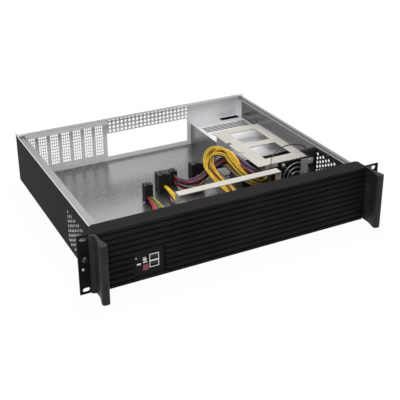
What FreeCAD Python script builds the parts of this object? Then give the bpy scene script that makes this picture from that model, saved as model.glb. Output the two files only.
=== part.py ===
import FreeCAD, Part
import math
import os
import re
import Sketcher
from FreeCAD import Placement, Rotation, Vector

# Two-unit rackmount server case, open on top, with a grooved front panel and two handles.
# Frame: X to the right seen from the front, Y to the rear, Z up. The origin is the middle of the
# footprint on the underside. The ears' front faces lie in the plane Y = ear_plane.

SIZES = {
    # whole case
    "case_width": 430.0,
    "case_depth": 380.0,
    "case_height": 88.0,
    "wall_height": 83.0,
    "rack_width": 482.6,
    "ear_plane": -172.0,
    "gauge": 1.2,
    "bend": 1.6,
    # top edges of the side walls
    "flange_ledge": 7.0,
    "flange_width": 12.5,
    "flange_step": 1.5,
    # round-looking vents are six-sided punchings
    "vent_radius": 2.7,
    "side_vent_pitch": 7.6,
    "side_vent_start": 34.0,
    "side_vent_base": 13.0,
    # motherboard holes in the floor
    "board_left": -186.0,
    "board_rear": 22.0,
    "board_span_x": 281.94,
    "board_mid_x": 124.46,
    "board_span_y": 227.33,
    "board_mid_y": 154.94,
    "board_hole": 3.5,
    # rear panel
    "rear_flange": 14.0,
    "rear_lip": 4.0,
    "slot_pitch": 20.32,
    "slot_first": -190.96,
    "slot_sill": 14.0,
    "slot_top": 79.0,
    "slot_opening": 14.8,
    "aperture_left": -54.0,
    "aperture_width": 158.75,
    "aperture_base": 9.0,
    "aperture_height": 44.45,
    "grid_left": -47.5,
    "grid_base": 57.6,
    "grid_pitch_x": 7.5,
    "grid_pitch_z": 7.1,
    # slot covers and their rail
    "cover_width": 18.4,
    "cover_gauge": 0.9,
    "cover_base": 4.0,
    "cover_tab": 11.0,
    "rail_top": 83.0,
    "rail_depth": 12.0,
    "rail_left": -203.4,
    "rail_right": -56.4,
    # front panel: a grooved extrusion
    "panel_proud": 4.0,
    "panel_plate": 6.0,
    "panel_skirt": 2.5,
    "panel_depth": 26.0,
    "groove_first": 5.0,
    "groove_pitch": 8.6,
    "groove_width": 2.2,
    "groove_depth": 2.6,
    # control window in the front panel
    "window_left": -165.0,
    "window_right": -118.0,
    "window_base": 4.0,
    "window_top": 45.0,
    # front frame and cross brace
    "frame_top": 84.0,
    "frame_flange": 18.0,
    "brace_left": -67.0,
    "brace_right": 105.0,
    "brace_front": 59.0,
    "brace_width": 14.0,
    "brace_top": 79.0,
    # rack ears and handles
    "ear_gauge": 2.5,
    "ear_return": 20.0,
    "ear_slot_x": 232.5,
    "ear_slot_low": 5.9,
    "ear_slot_high": 82.1,
    "ear_slot_width": 6.8,
    "ear_slot_length": 10.4,
    "handle_reach": 38.0,
    "handle_web": 4.0,
    "handle_grip": 11.0,
    "handle_base": 0.6,
    "handle_height": 86.8,
    "handle_foot": 13.0,
    # drive shelf over the power supply
    "shelf_left": 102.0,
    "shelf_right": 194.0,
    "shelf_front": 119.5,
    "shelf_rear": 277.0,
    "shelf_top": 62.4,
    "shelf_rim": 7.0,
    "shelf_window": 51.0,
    "shelf_window_left": 127.0,
    "leg_start": 226.0,
    # power supply
    "supply_left": 112.2,
    "supply_width": 100.0,
    "supply_height": 41.0,
    "supply_length": 190.0,
    "supply_gauge": 1.0,
    # front fan
    "fan_left": 142.0,
    "fan_front": 118.0,
    "fan_size": 60.0,
    "fan_depth": 25.0,
    "fan_hole_span": 50.0,
}

doc = FreeCAD.newDocument("server_case")
sheet = doc.addObject("Spreadsheet::Sheet", "Sizes")
for row, (size_name, size) in enumerate(SIZES.items(), start=1):
    sheet.set(f"A{row}", size_name)
    sheet.set(f"B{row}", str(size))
    sheet.setAlias(f"B{row}", size_name)
doc.recompute()

REAR = "ear_plane + case_depth"
INNER_REAR = "ear_plane + case_depth - gauge"
HALF = "case_width / 2"
finished = []


def linked(text):
    """An expression on the sheet's sizes, written so that another object can read it."""
    return re.sub(r"[a-z_]+", lambda word: "Sizes." + word.group() if word.group() in SIZES else word.group(), text)


def value(text):
    """The number that an expression on the sheet's sizes gives."""
    return float(sheet.evalExpression(text))


def bind(thing, field, text):
    thing.setExpression(field, linked(text))


def finish(thing, name):
    """Give a sub-part its name and put it on the list to be written."""
    thing.Label = name
    finished.append(thing)
    return thing


# ---------------------------------------------------------------- sketches and features


def new_body(name):
    return doc.addObject("PartDesign::Body", name + "_body")


def origin_feature(body, role):
    return [feature for feature in body.Origin.OriginFeatures if feature.Role == role][0]


def new_sketch(body, plane, level):
    """A sketch on one of the body's origin planes, moved to level along that plane's world axis."""
    sketch = body.newObject("Sketcher::SketchObject", body.Name + "_sketch")
    sketch.AttachmentSupport = (origin_feature(body, plane + "_Plane"), [""])
    sketch.MapMode = "FlatFace"
    along = f"-({level})" if plane == "XZ" else level
    bind(sketch, "AttachmentOffset.Base.z", along)
    return sketch


def hold(sketch, kind, edge, text, point=1):
    number = sketch.addConstraint(Sketcher.Constraint(kind, -1, 1, edge, point, value(text)))
    bind(sketch, f"Constraints[{number}]", text)


def outline(sketch, corners):
    """A closed outline of straight edges, each corner held at its two expressions."""
    points = [Vector(value(across), value(up), 0) for across, up in corners]
    first = sketch.GeometryCount
    for number, point in enumerate(points):
        sketch.addGeometry(Part.LineSegment(point, points[(number + 1) % len(points)]), False)
    for number, (across, up) in enumerate(corners):
        edge = first + number
        previous = first + (number - 1) % len(corners)
        sketch.addConstraint(Sketcher.Constraint("Coincident", previous, 2, edge, 1))
        hold(sketch, "DistanceX", edge, across)
        hold(sketch, "DistanceY", edge, up)


def rectangle(sketch, left, base, right, top):
    outline(sketch, [(left, base), (right, base), (right, top), (left, top)])


def hexagon(sketch, across, up, radius):
    """A six-sided punching with two corners above each other."""
    half = f"{radius} * sqrt(3) / 2"
    outline(
        sketch,
        [
            (across, f"{up} - {radius}"),
            (f"{across} + {half}", f"{up} - {radius} / 2"),
            (f"{across} + {half}", f"{up} + {radius} / 2"),
            (across, f"{up} + {radius}"),
            (f"{across} - {half}", f"{up} + {radius} / 2"),
            (f"{across} - {half}", f"{up} - {radius} / 2"),
        ],
    )


def circle(sketch, across, up, diameter):
    centre = Vector(value(across), value(up), 0)
    edge = sketch.addGeometry(Part.Circle(centre, Vector(0, 0, 1), value(diameter) / 2), False)
    hold(sketch, "DistanceX", edge, across, point=3)
    hold(sketch, "DistanceY", edge, up, point=3)
    number = sketch.addConstraint(Sketcher.Constraint("Diameter", edge, value(diameter)))
    bind(sketch, f"Constraints[{number}]", diameter)


def oblong(sketch, across, up, length, width):
    """A slot with round ends, long way across, its end centres held at their expressions."""
    reach = f"({length} - {width}) / 2"
    centres = [Vector(value(f"{across} {sign} {reach}"), value(up), 0) for sign in "-+"]
    radius = value(width) / 2
    rise = Vector(0, radius, 0)
    quarter = math.pi / 2
    left = sketch.addGeometry(Part.ArcOfCircle(Part.Circle(centres[0], Vector(0, 0, 1), radius), quarter, 3 * quarter))
    right = sketch.addGeometry(Part.ArcOfCircle(Part.Circle(centres[1], Vector(0, 0, 1), radius), -quarter, quarter))
    base = sketch.addGeometry(Part.LineSegment(centres[0] - rise, centres[1] - rise))
    top = sketch.addGeometry(Part.LineSegment(centres[1] + rise, centres[0] + rise))
    joins = ((left, 2, base, 1), (base, 2, right, 1), (right, 2, top, 1), (top, 2, left, 1))
    for first, first_end, second, second_end in joins:
        sketch.addConstraint(Sketcher.Constraint("Tangent", first, first_end, second, second_end))
    hold(sketch, "DistanceX", left, f"{across} - {reach}", point=3)
    hold(sketch, "DistanceY", left, up, point=3)
    hold(sketch, "DistanceX", right, f"{across} + {reach}", point=3)
    hold(sketch, "DistanceY", right, up, point=3)
    number = sketch.addConstraint(Sketcher.Constraint("Radius", left, radius))
    bind(sketch, f"Constraints[{number}]", f"{width} / 2")


def pad(body, sketch, length, backward=False):
    """Material along the plane's normal (XZ planes: towards the front), or against it when backward."""
    feature = body.newObject("PartDesign::Pad", body.Name + "_pad")
    feature.Profile = sketch
    bind(feature, "Length", length)
    feature.Reversed = backward
    return feature


def pocket(body, sketch, length, forward=False):
    """A cut against the plane's normal (XZ planes: towards the rear), or along it when forward."""
    feature = body.newObject("PartDesign::Pocket", body.Name + "_pocket")
    feature.Profile = sketch
    bind(feature, "Length", length)
    feature.Reversed = forward
    return feature


def line_pattern(body, feature, role, span, count, backward=False):
    """The feature repeated count times over a span along one of the body's axes."""
    pattern = body.newObject("PartDesign::LinearPattern", body.Name + "_row")
    pattern.Originals = [feature]
    pattern.Direction = (origin_feature(body, role), [""])
    pattern.Reversed = backward
    bind(pattern, "Length", span)
    pattern.Occurrences = count
    body.Tip = pattern
    return pattern


def grid_pattern(body, feature, first, second):
    """The feature repeated over a grid: each direction is a role, a step and a count."""
    grid = body.newObject("PartDesign::MultiTransform", body.Name + "_grid")
    grid.Originals = [feature]
    rows = []
    for role, step, count in (first, second):
        row = body.newObject("PartDesign::LinearPattern", body.Name + "_row")
        row.Direction = (origin_feature(body, role), [""])
        bind(row, "Length", f"{step} * {count - 1}")
        row.Occurrences = count
        rows.append(row)
    grid.Transformations = rows
    body.Tip = grid
    return grid


def round_edges(body, feature, radius, chosen):
    """Fillet the feature's edges that chosen accepts."""
    doc.recompute()
    names = [f"Edge{number}" for number, edge in enumerate(feature.Shape.Edges, start=1) if chosen(edge)]
    fillet = body.newObject("PartDesign::Fillet", body.Name + "_bends")
    fillet.Base = (feature, names)
    bind(fillet, "Radius", radius)
    return fillet


def runs_along(edge, axis, least):
    """Whether an edge is straight, lies along the axis and is at least so long."""
    if edge.Length < least or len(edge.Vertexes) != 2:
        return False
    way = edge.Vertexes[1].Point - edge.Vertexes[0].Point
    return abs(way.getAngle(axis) % math.pi) < 1e-4 or abs(way.getAngle(axis) % math.pi - math.pi) < 1e-4


# ---------------------------------------------------------------- plain primitives


def box(name, low, spans):
    """A Part::Box with its low corner and its three spans given as expressions."""
    solid = doc.addObject("Part::Box", name)
    for field, text in zip(("Length", "Width", "Height"), spans):
        bind(solid, field, text)
    for axis, text in zip("xyz", low):
        bind(solid, f"Placement.Base.{axis}", text)
    return solid


def rod(name, base, radius, length, along):
    """A Part::Cylinder from its base centre along X, Y or Z."""
    turns = {"X": Rotation(Vector(0, 1, 0), 90), "Y": Rotation(Vector(1, 0, 0), -90), "Z": Rotation()}
    solid = doc.addObject("Part::Cylinder", name)
    solid.Placement = Placement(Vector(), turns[along])
    bind(solid, "Radius", radius)
    bind(solid, "Height", length)
    for axis, text in zip("xyz", base):
        bind(solid, f"Placement.Base.{axis}", text)
    return solid


def cut(name, base, *tools):
    result = doc.addObject("Part::Cut", name)
    result.Base = base
    result.Tool = tools[0] if len(tools) == 1 else fuse(name + "_tools", *tools)
    return result


def fuse(name, *solids):
    result = doc.addObject("Part::MultiFuse", name)
    result.Shapes = list(solids)
    return result


def shape_feature(name, shape):
    """A finished shape made with Part's own functions."""
    feature = doc.addObject("Part::Feature", name + "_shape")
    feature.Shape = shape
    return finish(feature, name)


# ---------------------------------------------------------------- chassis


def make_tray():
    """Floor and side walls folded from one sheet; each wall ends in a stepped flange for the lid."""
    body = new_body("chassis_tray")
    profile = new_sketch(body, "XZ", "ear_plane + panel_plate - panel_proud")
    half = HALF
    step = "wall_height - flange_step"
    side = [
        (half, "0"),
        (half, "wall_height"),
        (f"{half} - flange_ledge", "wall_height"),
        (f"{half} - flange_ledge", step),
        (f"{half} - flange_width", step),
        (f"{half} - flange_width", f"{step} - gauge"),
        (f"{half} - flange_ledge + gauge", f"{step} - gauge"),
        (f"{half} - flange_ledge + gauge", "wall_height - gauge"),
        (f"{half} - gauge", "wall_height - gauge"),
        (f"{half} - gauge", "gauge"),
    ]
    other_side = [(f"-({across})", up) for across, up in reversed(side)]
    outline(profile, side + other_side)
    walls = pad(body, profile, "case_depth - panel_plate + panel_proud - gauge", backward=True)
    outer = [value(HALF), value("wall_height")]

    def folded(edge):
        centre = edge.CenterOfMass
        at_side = abs(abs(centre.x) - outer[0]) < 0.01
        return at_side and (centre.z < 0.01 or abs(centre.z - outer[1]) < 0.01) and runs_along(edge, Vector(0, 1, 0), 300)

    round_edges(body, walls, "bend", folded)

    # board holes in the floor
    board = new_sketch(body, "XY", "gauge")
    for across in ("board_left", "board_left + board_mid_x", "board_left + board_span_x"):
        for back in ("0", "board_mid_y", "board_span_y"):
            circle(board, across, f"{INNER_REAR} - board_rear - {back}", "board_hole")
    pocket(body, board, "gauge")

    # two staggered punchings, repeated over a field in each wall
    for wall, level in (("right", f"{HALF}"), ("left", f"-{HALF} + gauge")):
        vents = new_sketch(body, "YZ", level)
        start = "ear_plane + side_vent_start"
        hexagon(vents, start, "side_vent_base", "vent_radius")
        hexagon(vents, f"{start} + side_vent_pitch", "side_vent_base + side_vent_pitch / 2", "vent_radius")
        first = pocket(body, vents, "gauge")
        grid_pattern(body, first, ("Y_Axis", "side_vent_pitch * 2", 6), ("Z_Axis", "side_vent_pitch", 7))

    # the flanges stop short of the front frame, and narrow before the rear panel
    ends = new_sketch(body, "XY", "wall_height")
    frame_room = "ear_plane + panel_plate - panel_proud + frame_flange + 1"
    for sign in ("", "-"):
        inner = f"{sign}({HALF} - flange_width - 1)"
        rectangle(ends, inner, "ear_plane", f"{sign}({HALF} - gauge)", frame_room)
        rectangle(ends, inner, f"{REAR} - rear_flange - 4", f"{sign}({HALF} - flange_ledge)", REAR)
    pocket(body, ends, "flange_step + 2 * gauge")

    # holes for the ears' side screws
    sides = new_sketch(body, "YZ", HALF)
    for up in ("20", "60"):
        circle(sides, "ear_plane + ear_return / 2 + 2", up, "4")
    pocket(body, sides, "case_width")
    return finish(body, "chassis_tray")


def slot_centre(number):
    return f"slot_first + slot_pitch * {number}"


def make_rear_panel():
    """Rear wall with folded sides and top, seven slot openings, the board's aperture and a hole grid."""
    body = new_body("rear_panel")
    plan = new_sketch(body, "XY", "gauge")
    inside = f"{HALF} - gauge"
    fold = f"{REAR} - rear_flange"
    outline(
        plan,
        [
            (f"-({inside})", fold),
            (f"-({inside}) + gauge", fold),
            (f"-({inside}) + gauge", INNER_REAR),
            (f"{inside} - gauge", INNER_REAR),
            (f"{inside} - gauge", fold),
            (inside, fold),
            (inside, REAR),
            (f"-({inside})", REAR),
        ],
    )
    pad(body, plan, "wall_height - flange_step - 2 * gauge")

    crown = new_sketch(body, "XZ", REAR)
    rectangle(crown, f"-({HALF})", "wall_height - flange_step - gauge", HALF, "case_height")
    pad(body, crown, "gauge")
    top = new_sketch(body, "YZ", f"-({HALF})")
    outline(
        top,
        [
            (REAR, "case_height"),
            (f"{REAR} - rear_flange", "case_height"),
            (f"{REAR} - rear_flange", "case_height - rear_lip"),
            (f"{REAR} - rear_flange + gauge", "case_height - rear_lip"),
            (f"{REAR} - rear_flange + gauge", "case_height - gauge"),
            (REAR, "case_height - gauge"),
        ],
    )
    pad(body, top, "case_width")

    slots = new_sketch(body, "XZ", INNER_REAR)
    for number in range(7):
        centre = slot_centre(number)
        rectangle(slots, f"{centre} - slot_opening / 2", "slot_sill", f"{centre} + slot_opening / 2", "slot_top")
    pocket(body, slots, "gauge")

    openings = new_sketch(body, "XZ", INNER_REAR)
    rectangle(openings, "aperture_left", "aperture_base", "aperture_left + aperture_width", "aperture_base + aperture_height")
    rectangle(openings, "supply_left + 9", "4", "supply_left + supply_width - 9", "supply_height - 2")
    for across in ("supply_left + 4.5", "supply_left + supply_width - 4.5"):
        for up in ("9", "34"):
            circle(openings, across, up, "3.4")
    pocket(body, openings, "gauge")

    grid = new_sketch(body, "XZ", INNER_REAR)
    hexagon(grid, "grid_left", "grid_base", "vent_radius")
    first = pocket(body, grid, "gauge")
    grid_pattern(body, first, ("X_Axis", "grid_pitch_x", 21), ("Z_Axis", "grid_pitch_z", 4))
    return finish(body, "rear_panel")


def make_slot_cover(number):
    """Vented blank: a plate with a narrowed foot, four columns of vent slots and a notched screw tab."""
    name = f"slot_cover_{number + 1}"
    body = new_body(name)
    centre = slot_centre(number)
    left = f"{centre} - cover_width / 2"
    side = new_sketch(body, "YZ", left)
    face = INNER_REAR
    outline(
        side,
        [
            (face, "cover_base"),
            (face, "rail_top + cover_gauge"),
            (f"{face} - cover_tab", "rail_top + cover_gauge"),
            (f"{face} - cover_tab", "rail_top"),
            (f"{face} - cover_gauge", "rail_top"),
            (f"{face} - cover_gauge", "cover_base"),
        ],
    )
    pad(body, side, "cover_width")

    foot = new_sketch(body, "XZ", f"{face} - cover_gauge")
    for sign, edge in (("-", left), ("+", f"{centre} + cover_width / 2")):
        outline(foot, [(edge, "cover_base"), (f"{centre} {sign} 5", "cover_base"), (edge, "cover_base + 8")])
    pocket(body, foot, "cover_gauge")

    vents = new_sketch(body, "XZ", f"{face} - cover_gauge")
    rectangle(vents, f"{centre} - 6.9", "16.5", f"{centre} - 4.2", "20.7")
    first = pocket(body, vents, "cover_gauge")
    grid_pattern(body, first, ("X_Axis", "3.7", 4), ("Z_Axis", "5.6", 11))

    notch = new_sketch(body, "XY", "rail_top + cover_gauge")
    oblong(notch, f"{centre} + 6.6", f"{face} - 6", "10", "3.6")
    pocket(body, notch, "cover_gauge")
    return finish(body, name)


def make_slot_rail():
    """Folded rail under the covers' tabs, with a tapped hole for each screw."""
    body = new_body("slot_rail")
    side = new_sketch(body, "YZ", "rail_left")
    back = f"{INNER_REAR} - cover_gauge - 0.2"
    front = f"{back} - rail_depth"
    outline(
        side,
        [
            (back, "rail_top"),
            (front, "rail_top"),
            (front, "rail_top - 7"),
            (f"{front} + gauge", "rail_top - 7"),
            (f"{front} + gauge", "rail_top - gauge"),
            (back, "rail_top - gauge"),
        ],
    )
    pad(body, side, "rail_right - rail_left")
    holes = new_sketch(body, "XY", "rail_top")
    circle(holes, f"{slot_centre(0)} + 5.4", f"{INNER_REAR} - 6", "3")
    first = pocket(body, holes, "gauge")
    line_pattern(body, first, "X_Axis", "slot_pitch * 6", 7)

    # end tabs that reach the rear panel
    ends = new_sketch(body, "XY", "rail_top")
    for start, stop in (("rail_left", "rail_left + 3"), ("rail_right - 3", "rail_right")):
        rectangle(ends, start, f"{back} - 1", stop, INNER_REAR)
    pad(body, ends, "gauge", backward=True)
    return finish(body, "slot_rail")


# ---------------------------------------------------------------- front


def make_front_panel():
    """Grooved extrusion with a skirt above and below, cut out for the control window."""
    body = new_body("front_panel")
    side = new_sketch(body, "YZ", f"-({HALF})")
    face = "ear_plane - panel_proud"
    inner = f"{face} + panel_plate"
    back = f"{face} + panel_depth"
    corners = [(face, "0")]
    for number in range(10):
        middle = f"groove_first + groove_pitch * {number}"
        corners += [
            (face, f"{middle} - groove_width / 2"),
            (f"{face} + groove_depth", f"{middle} - groove_width / 4"),
            (f"{face} + groove_depth", f"{middle} + groove_width / 4"),
            (face, f"{middle} + groove_width / 2"),
        ]
    corners += [
        (face, "case_height"),
        (back, "case_height"),
        (back, "case_height - panel_skirt"),
        (inner, "case_height - panel_skirt"),
        (inner, "0"),
    ]
    outline(side, corners)
    pad(body, side, "case_width")
    window = new_sketch(body, "XZ", face)
    rectangle(window, "window_left", "window_base", "window_right", "window_top")
    pocket(body, window, "panel_plate")
    return finish(body, "front_panel")


def make_front_frame():
    """Sheet wall behind the front panel, folded back under its upper skirt."""
    body = new_body("front_frame")
    face = "ear_plane - panel_proud + panel_plate"
    side = new_sketch(body, "YZ", f"-({HALF}) + gauge")
    outline(
        side,
        [
            (face, "gauge"),
            (face, "frame_top"),
            (f"{face} + frame_flange", "frame_top"),
            (f"{face} + frame_flange", "frame_top - gauge"),
            (f"{face} + gauge", "frame_top - gauge"),
            (f"{face} + gauge", "gauge"),
        ],
    )
    pad(body, side, "case_width - 2 * gauge")
    clear = new_sketch(body, "XZ", face)
    rectangle(clear, "window_left - 2", "window_base - 1", "window_right + 2", "window_top + 2")
    for left in ("-90", "0", "90"):
        rectangle(clear, left, "12", f"{left} + 70", "66")
    pocket(body, clear, "gauge")
    for sign in ("", "-"):
        corner = new_sketch(body, "XY", "frame_top")
        edge = f"{sign}({HALF} - flange_width - 2)"
        out = f"{sign}({HALF})"
        rectangle(corner, edge, f"{face} + gauge", out, f"{face} + frame_flange")
        pocket(body, corner, "gauge")
    return finish(body, "front_frame")


def make_front_brace():
    """Cross brace behind the front panel: a channel with its top flange up and feet at both ends."""
    body = new_body("front_brace")
    front = "ear_plane + brace_front"
    face = new_sketch(body, "XZ", front)
    outline(
        face,
        [
            ("brace_left - 12", "gauge"),
            ("brace_left + gauge", "gauge"),
            ("brace_left + gauge", "brace_top - gauge"),
            ("brace_right - gauge", "brace_top - gauge"),
            ("brace_right - gauge", "gauge"),
            ("brace_right + 12", "gauge"),
            ("brace_right + 12", "2 * gauge"),
            ("brace_right", "2 * gauge"),
            ("brace_right", "brace_top"),
            ("brace_left", "brace_top"),
            ("brace_left", "2 * gauge"),
            ("brace_left - 12", "2 * gauge"),
        ],
    )
    pad(body, face, "brace_width", backward=True)
    rim = new_sketch(body, "XZ", f"{front} + brace_width - gauge")
    rectangle(rim, "brace_left + gauge", "brace_top - 8", "brace_right - gauge", "brace_top - gauge")
    pad(body, rim, "gauge", backward=True)
    legs = new_sketch(body, "YZ", "brace_right")
    rectangle(legs, f"{front} + 4", "14", f"{front} + brace_width - 4", "62")
    pocket(body, legs, "brace_right - brace_left")
    return finish(body, "front_brace")


def make_rack_ear(name, sign):
    """Folded ear: a slotted face and a return along the case's side."""
    body = new_body(name)
    plan = new_sketch(body, "XY", "0")
    inside = f"{sign}({HALF})"
    outside = f"{sign}(rack_width / 2)"
    fold = f"{sign}({HALF} + ear_gauge)"
    outline(
        plan,
        [
            (inside, "ear_plane"),
            (outside, "ear_plane"),
            (outside, "ear_plane + ear_gauge"),
            (fold, "ear_plane + ear_gauge"),
            (fold, "ear_plane + ear_return"),
            (inside, "ear_plane + ear_return"),
        ],
    )
    pad(body, plan, "case_height")
    face = new_sketch(body, "XZ", "ear_plane")
    for up in ("ear_slot_low", "ear_slot_high"):
        oblong(face, f"{sign}ear_slot_x" if sign else "ear_slot_x", up, "ear_slot_length", "ear_slot_width")
    circle(face, f"{sign}(231.8)", "52", "4")
    circle(face, f"{sign}(235)", "38", "2.6")
    for up in ("20", "68"):
        circle(face, f"{sign}({HALF} + 6)", up, "3.4")
    pocket(body, face, "ear_gauge")
    flank = new_sketch(body, "YZ", f"{sign}({HALF} + ear_gauge)")
    for up in ("20", "60"):
        circle(flank, "ear_plane + ear_return / 2 + 2", up, "4")
    pocket(body, flank, "ear_gauge", forward=bool(sign))
    return finish(body, name)


def make_handle(name, sign):
    """Extruded handle: a foot on the ear and a web that flares into a thick rounded grip."""
    body = new_body(name)
    plan = new_sketch(body, "XY", "handle_base")
    near = f"{sign}({HALF} + 3.5 - handle_web / 2)"
    far = f"{sign}({HALF} + 3.5 + handle_web / 2)"
    foot = f"{sign}({HALF} + 3.5 - handle_web / 2 + handle_foot - 3)"
    front = "ear_plane - handle_reach"
    grip_near = f"{sign}({HALF} + 3.5 - handle_grip / 2)"
    grip_far = f"{sign}({HALF} + 3.5 + handle_grip / 2)"
    outline(
        plan,
        [
            (near, "ear_plane"),
            (foot, "ear_plane"),
            (foot, "ear_plane - 3.5"),
            (far, "ear_plane - 6"),
            (far, f"{front} + handle_grip + 9"),
            (grip_far, f"{front} + 6"),
            (grip_far, front),
            (grip_near, front),
            (grip_near, f"{front} + 6"),
            (near, f"{front} + handle_grip + 9"),
        ],
    )
    solid = pad(body, plan, "handle_height")
    edge_y = value(front)
    grip_edges = {round(value(grip_near), 3), round(value(grip_far), 3)}

    def along_grip(edge):
        centre = edge.CenterOfMass
        at_grip = round(centre.x, 3) in grip_edges
        return at_grip and abs(centre.y - edge_y) < 1 and runs_along(edge, Vector(0, 0, 1), 60)

    def along_web(edge):
        centre = edge.CenterOfMass
        at_flare = abs(centre.y - edge_y - value("handle_grip + 9")) < 1
        return at_flare and runs_along(edge, Vector(0, 0, 1), 60)

    grip = round_edges(body, solid, "handle_grip * 0.36", along_grip)
    doc.recompute()
    round_edges(body, grip, "handle_grip", along_web)
    doc.recompute()

    holes = new_sketch(body, "XZ", "ear_plane")
    for up in ("20", "68"):
        circle(holes, f"{sign}({HALF} + 6)", up, "3")
    pocket(body, holes, "3.5", forward=True)
    return finish(body, name)


def make_controls():
    """Insert in the control window with its buttons, lenses, stacked ports and board."""
    face = "ear_plane - panel_proud"
    plate_front = f"{face} + 2.4"
    plate = box("insert_plate", ("window_left", plate_front, "window_base"),
                ("window_right - window_left - 4.6", "2", "window_top - window_base"))
    through = (f"{plate_front} - 1", "4")
    holes = [
        rod("power_hole", ("-149.5", through[0], "31"), "3.2", through[1], "Y"),
        rod("reset_hole", ("-162", through[0], "35"), "1.4", through[1], "Y"),
        box("port_hole", ("-142.4", through[0], "15.8"), ("14", through[1], "20.4")),
        box("pill_hole", ("-160.9", through[0], "23.3"), ("6.2", through[1], "2.4")),
        box("bar_hole", ("-151.9", through[0], "24.7"), ("6.2", through[1], "2")),
        box("lens_hole", ("-152.1", through[0], "12.9"), ("8.2", through[1], "9.2")),
    ]
    finish(cut("insert_cut", plate, *holes), "control_insert")

    # each button: a cap through the insert and a wider collar behind it, with its switch on the board
    switches = []
    for name, across, up, radius in (("power_button", "-149.5", "31", "2.9"), ("reset_button", "-162", "35", "1.1")):
        cap = rod(name + "_cap", (across, f"{plate_front} - 1.6", up), radius, "4.6", "Y")
        collar = rod(name + "_collar", (across, f"{plate_front} + 3", up), f"{radius} + 0.9", "1.2", "Y")
        finish(fuse(name + "_solid", cap, collar), name)
        body_low = (f"{across} - 2.8", f"{plate_front} + 6.6", f"{up} - 2.8")
        block = box(name + "_switch", body_low, ("5.6", "1.6", "5.6"))
        plunger = rod(name + "_plunger", (across, f"{plate_front} + 5.9", up), "1", "1", "Y")
        switches.append(fuse(name + "_switch_solid", block, plunger))
    finish(fuse("switches_solid", *switches), "button_switches")

    # lenses are square light pipes that stand on the board
    for name, low, size_x, size_z in (
        ("power_lens", ("-160.9", "23.3"), "6.2", "2.4"),
        ("drive_lens", ("-151.9", "24.7"), "6.2", "2"),
        ("alarm_lens", ("-152.1", "12.9"), "8.2", "9.2"),
    ):
        lens = box(name + "_block", (low[0], f"{plate_front} - 0.4", low[1]), (size_x, "8.6", size_z))
        finish(lens, name)

    # two stacked ports in one shell, each with a tongue
    shell = box("port_shell", ("-142.4", f"{plate_front} - 0.8", "15.8"), ("14", "9", "20.4"))
    cavities = []
    for number, base in enumerate(("17", "27.4")):
        mouth = box(f"port_mouth_{number}", ("-141.6", f"{plate_front} - 1", base), ("12.4", "8", "5.2"))
        tongue = box(f"port_tongue_{number}", ("-140.6", f"{plate_front} - 0.4", f"{base} + 2.6"), ("10.4", "8", "1.6"))
        cavities.append(cut(f"port_cavity_{number}", mouth, tongue))
    finish(cut("port_cut", shell, *cavities), "port_stack")
    board = box("board_plate", ("window_left", f"{plate_front} + 8.2", "window_base + 1"), ("44", "1.6", "38"))
    finish(board, "control_board")


# ---------------------------------------------------------------- drive shelf, supply and fan


def make_drive_shelf():
    """Flat shelf with two square windows, its front and rear edges folded down, notched on the left."""
    body = new_body("drive_shelf")
    front = "ear_plane + shelf_front"
    rear = "ear_plane + shelf_rear"
    side = new_sketch(body, "YZ", "shelf_left")
    outline(
        side,
        [
            (front, "shelf_top"),
            (front, "shelf_top - shelf_rim"),
            (f"{front} + gauge", "shelf_top - shelf_rim"),
            (f"{front} + gauge", "shelf_top - gauge"),
            (f"{rear} - gauge", "shelf_top - gauge"),
            (f"{rear} - gauge", "shelf_top - shelf_rim"),
            (rear, "shelf_top - shelf_rim"),
            (rear, "shelf_top"),
        ],
    )
    pad(body, side, "shelf_right - shelf_left")
    top = new_sketch(body, "XY", "shelf_top")
    for start in (f"{front} + 21.5", f"{front} + 89"):
        rectangle(top, "shelf_window_left", start, "shelf_window_left + shelf_window", f"{start} + shelf_window")
    pocket(body, top, "gauge")
    notches = new_sketch(body, "XY", "shelf_top")
    for back in (f"{front} + 59.5", f"{front} + 101.5"):
        rectangle(notches, "shelf_left - 1", f"{back} - 4", "shelf_left + 7", f"{back} + 4")
    pocket(body, notches, "gauge")

    # the rims stop short of the corners, and the front one also beside the fan
    clear = new_sketch(body, "XY", "shelf_top - gauge")
    for start, stop, edge in (
        ("shelf_left - 1", "shelf_left + 13", front),
        ("fan_left - 4", "shelf_right + 1", front),
        ("shelf_left - 1", "shelf_left + 13", f"{rear} - gauge"),
        ("shelf_right - 13", "shelf_right + 1", f"{rear} - gauge"),
    ):
        rectangle(clear, start, edge, stop, f"{edge} + gauge")
    pocket(body, clear, "shelf_rim")
    return finish(body, "drive_shelf")


def make_shelf_legs():
    """Left leg: a Z-shaped sheet from the floor to under the shelf. Right leg: an angle on the wall."""
    behind_fan = "fan_front + fan_depth + 2"
    front = f"ear_plane + {behind_fan}"
    length = f"shelf_rear - 2 - ({behind_fan})"
    leg_front = "ear_plane + leg_start"
    under = "shelf_top - gauge"
    body = new_body("shelf_leg_left")
    side = new_sketch(body, "XZ", leg_front)
    leg = "supply_left - gauge - 0.6"
    outline(
        side,
        [
            (f"{leg} - 10", "gauge"),
            (f"{leg} + gauge", "gauge"),
            (f"{leg} + gauge", f"{under} - gauge"),
            (f"{leg} + 14", f"{under} - gauge"),
            (f"{leg} + 14", under),
            (leg, under),
            (leg, "2 * gauge"),
            (f"{leg} - 10", "2 * gauge"),
        ],
    )
    pad(body, side, "shelf_rear - leg_start - 2", backward=True)
    finish(body, "shelf_leg_left")

    body = new_body("shelf_leg_right")
    side = new_sketch(body, "XZ", front)
    wall = f"{HALF} - gauge"
    outline(
        side,
        [
            (f"{wall} - gauge", "supply_height + 3.4"),
            (wall, "supply_height + 3.4"),
            (wall, under),
            ("shelf_right - 12", under),
            ("shelf_right - 12", f"{under} - gauge"),
            (f"{wall} - gauge", f"{under} - gauge"),
        ],
    )
    pad(body, side, length, backward=True)
    finish(body, "shelf_leg_right")


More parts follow.
